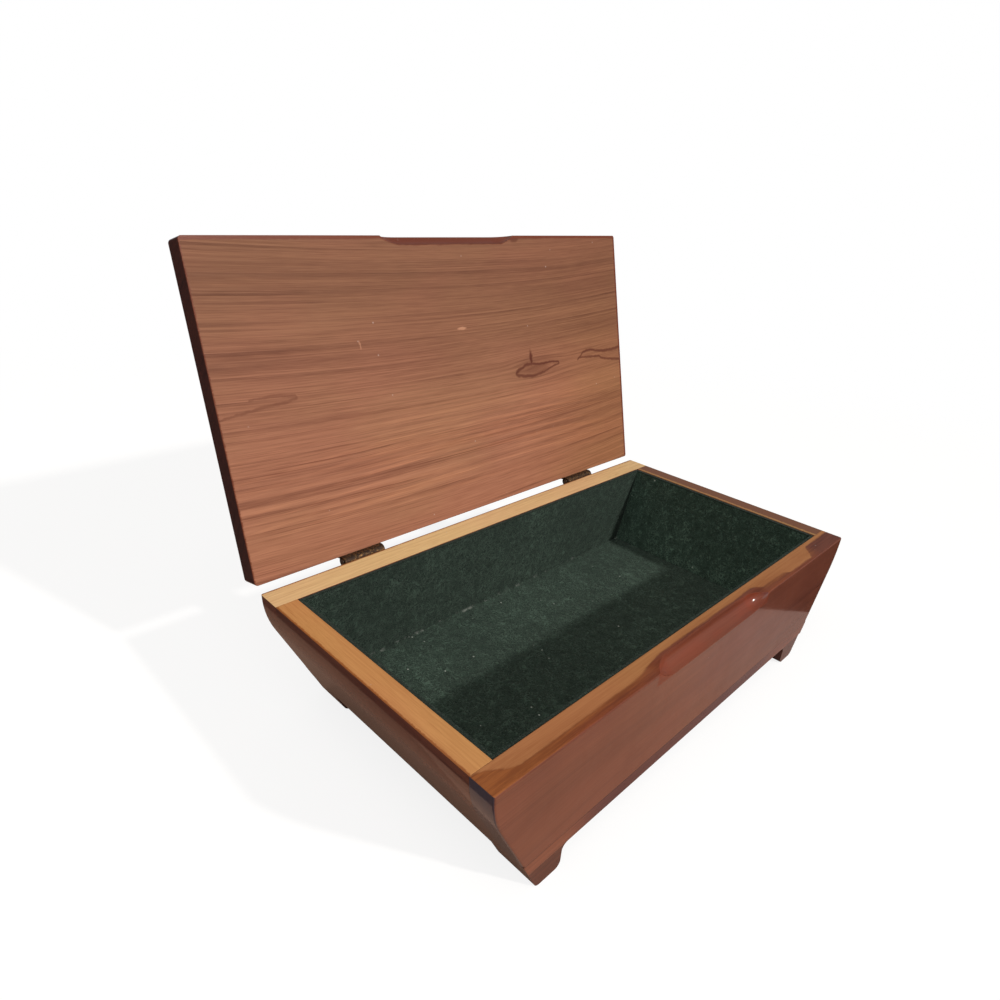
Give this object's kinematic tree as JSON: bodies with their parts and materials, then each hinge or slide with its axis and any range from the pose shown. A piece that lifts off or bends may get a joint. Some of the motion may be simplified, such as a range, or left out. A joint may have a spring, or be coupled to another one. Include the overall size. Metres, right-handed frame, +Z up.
{
  "type": "trinket box",
  "caption": "Small lined wooden trinket box on block feet, with inward-curving ends, a finger scoop and a flat lid on butt hinges that stops just past upright.",
  "frame": {"origin": "centre of the box's footprint, on the surface that its feet stand on", "axes": "+X along the box to the right as seen from the front, +Y from the front to the hinged back, +Z up"},
  "size_m": [0.2286, 0.1631, 0.1737],
  "materials": {
    "varnished_cedar": "gloss",
    "lid_cedar": "satin",
    "green_felt": "matte",
    "hinge_brass": "satin",
    "pin_steel": "satin"
  },
  "bodies": {
    "box": {"front_board": "varnished_cedar", "back_board": "varnished_cedar", "left_end_board": "varnished_cedar", "right_end_board": "varnished_cedar", "bottom_board": "varnished_cedar", "front_left_foot": "varnished_cedar", "front_right_foot": "varnished_cedar", "back_left_foot": "varnished_cedar", "back_right_foot": "varnished_cedar", "floor_felt": "green_felt", "front_wall_felt": "green_felt", "back_wall_felt": "green_felt", "left_end_felt": "green_felt", "right_end_felt": "green_felt", "left_hinge_box_leaf": "hinge_brass", "right_hinge_box_leaf": "hinge_brass", "left_hinge_pin": "pin_steel", "right_hinge_pin": "pin_steel", "left_hinge_box_screws": "hinge_brass", "right_hinge_box_screws": "hinge_brass"},
    "lid": {"lid_board": "lid_cedar", "left_hinge_lid_leaf": "hinge_brass", "right_hinge_lid_leaf": "hinge_brass", "left_hinge_lid_screws": "hinge_brass", "right_hinge_lid_screws": "hinge_brass"}
  },
  "joints": [
    {"name": "lid_hinge", "type": "hinge", "parent": "box", "child": "lid", "pos_m": [0, 0.0629, 0.0558], "axis": [1, 0, 0], "range_deg": [0, 104]}
  ]
}
